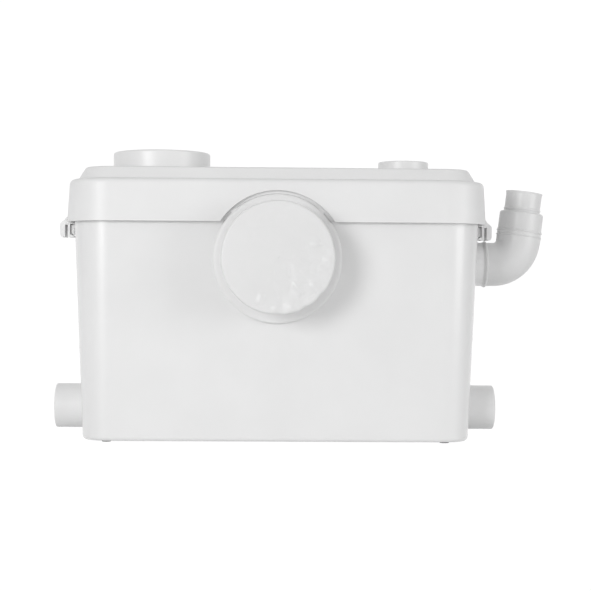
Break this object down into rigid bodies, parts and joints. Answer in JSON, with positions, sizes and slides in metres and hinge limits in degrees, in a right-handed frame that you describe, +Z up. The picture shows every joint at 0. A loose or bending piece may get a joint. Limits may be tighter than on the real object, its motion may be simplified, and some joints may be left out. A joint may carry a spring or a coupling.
{
  "type": "sewage lifting station",
  "caption": "Compact macerating pump box with a WC spigot in front, low side inlets, a capped motor housing, clip-on lid and a swivelling discharge elbow with a stepped reducer.",
  "frame": {"origin": "on the floor under the middle of the overall width and depth", "axes": "+X to the right seen from the front, where the discharge is; +Y to the back, away from the WC spigot; +Z up"},
  "size_m": [0.4884, 0.2496, 0.281],
  "materials": {
    "white_shell": "glossy moulded white",
    "white_fitting": "satin moulded white",
    "pale_fitting": "satin moulded pale grey-white",
    "white_silicone": "matt moulded silicone",
    "white_film": "thin crinkled white film",
    "black_rubber": "matt moulded rubber",
    "hose_rubber": "matt extruded hose",
    "pale_plastic": "moulded, matt",
    "grey_plastic": "moulded, matt",
    "black_plastic": "moulded, glossy",
    "ivory_plastic": "moulded, matt",
    "carbon": "pressed charcoal granules",
    "stainless": "bright drawn",
    "cast_bell": "die-cast",
    "painted_can": "semi-gloss paint",
    "lamination": "oiled stacked laminations",
    "copper": "varnished copper",
    "capacitor_can": "drawn can"
  },
  "bodies": {
    "housing": {"air_bell": "pale_plastic", "cable_gland": "grey_plastic", "capacitor": "capacitor_can", "carbon_filter": "carbon", "cutter_basket": "stainless", "deck": "pale_plastic", "deck_screws": "stainless", "diaphragm": "black_rubber", "inlet_left": "white_fitting", "inlet_pin_left": "stainless", "inlet_pin_right": "stainless", "inlet_right": "white_fitting", "inlet_seal_left": "black_rubber", "inlet_seal_right": "black_rubber", "latch_pin_left": "stainless", "latch_pin_right": "stainless", "lid": "white_shell", "lid_gasket": "white_silicone", "lower_bearing": "stainless", "lower_end_bell": "cast_bell", "microswitch": "black_plastic", "motor_can": "painted_can", "motor_screws": "stainless", "outlet_body": "white_fitting", "outlet_pin": "stainless", "outlet_seal": "black_rubber", "pressure_switch": "grey_plastic", "pump_studs": "stainless", "riser_clamps": "stainless", "riser_pipe": "hose_rubber", "rubber_feet": "black_rubber", "shaft_seal": "black_rubber", "stator_core": "lamination", "suction_plate": "grey_plastic", "tank": "white_shell", "terminal_block": "ivory_plastic", "upper_bearing": "stainless", "upper_end_bell": "cast_bell", "volute": "grey_plastic", "waste_chute": "pale_plastic", "wc_collar": "white_fitting", "wc_gasket": "black_rubber", "wc_lock_ring": "pale_plastic", "windings": "copper"},
    "wc_cap": {"wc_dust_cap": "white_film"},
    "access_cap": {"motor_cap": "white_shell"},
    "breather_cap": {"vent_cap": "white_shell"},
    "flap_left": {"inlet_flap_left": "black_rubber"},
    "flap_right": {"inlet_flap_right": "black_rubber"},
    "check_flap": {"outlet_flap": "black_rubber"},
    "outlet_elbow": {"discharge_elbow": "pale_fitting", "reducer_sleeve": "pale_fitting"},
    "clip_left": {"latch_left": "white_fitting"},
    "clip_right": {"latch_right": "white_fitting"},
    "rotor": {"rotor_core": "lamination", "shaft": "stainless", "fan": "pale_plastic", "cutter": "stainless", "impeller": "grey_plastic"},
    "plunger": {"switch_plunger": "pale_plastic"}
  },
  "joints": [
    {"name": "wc_cap_pull", "type": "slide", "parent": "housing", "child": "wc_cap", "axis": [0, -1, 0], "range_m": [0, 0.06]},
    {"name": "motor_cap_lift", "type": "slide", "parent": "housing", "child": "access_cap", "axis": [0, 0, 1], "range_m": [0, 0.03]},
    {"name": "vent_cap_lift", "type": "slide", "parent": "housing", "child": "breather_cap", "axis": [0, 0, 1], "range_m": [0, 0.02]},
    {"name": "inlet_flap_left_swing", "type": "hinge", "parent": "housing", "child": "flap_left", "pos_m": [-0.20933, 0.01063, 0.0468], "axis": [0, -1, 0], "range_deg": [0, 45]},
    {"name": "inlet_flap_right_swing", "type": "hinge", "parent": "housing", "child": "flap_right", "pos_m": [0.15607, 0.01063, 0.0468], "axis": [0, 1, 0], "range_deg": [0, 45]},
    {"name": "outlet_flap_swing", "type": "hinge", "parent": "housing", "child": "check_flap", "pos_m": [0.13434, 0.02863, 0.1908], "axis": [0, -1, 0], "range_deg": [0, 60]},
    {"name": "elbow_swivel", "type": "hinge", "parent": "housing", "child": "outlet_elbow", "pos_m": [0.18274, 0.02863, 0.1733], "axis": [1, 0, 0], "continuous": true},
    {"name": "latch_left_swing", "type": "hinge", "parent": "housing", "child": "clip_left", "pos_m": [-0.23203, 0.01063, 0.21325], "axis": [0, 1, 0], "range_deg": [0, 35]},
    {"name": "latch_right_swing", "type": "hinge", "parent": "housing", "child": "clip_right", "pos_m": [0.17877, 0.01063, 0.21325], "axis": [0, -1, 0], "range_deg": [0, 35]},
    {"name": "rotor_spin", "type": "hinge", "parent": "housing", "child": "rotor", "pos_m": [-0.14123, 0.01063, 0.12], "axis": [0, 0, 1], "continuous": true},
    {"name": "plunger_rise", "type": "slide", "parent": "housing", "child": "plunger", "axis": [0, 0, 1], "range_m": [0, 0.0015], "stiffness_N_per_m": 500}
  ]
}
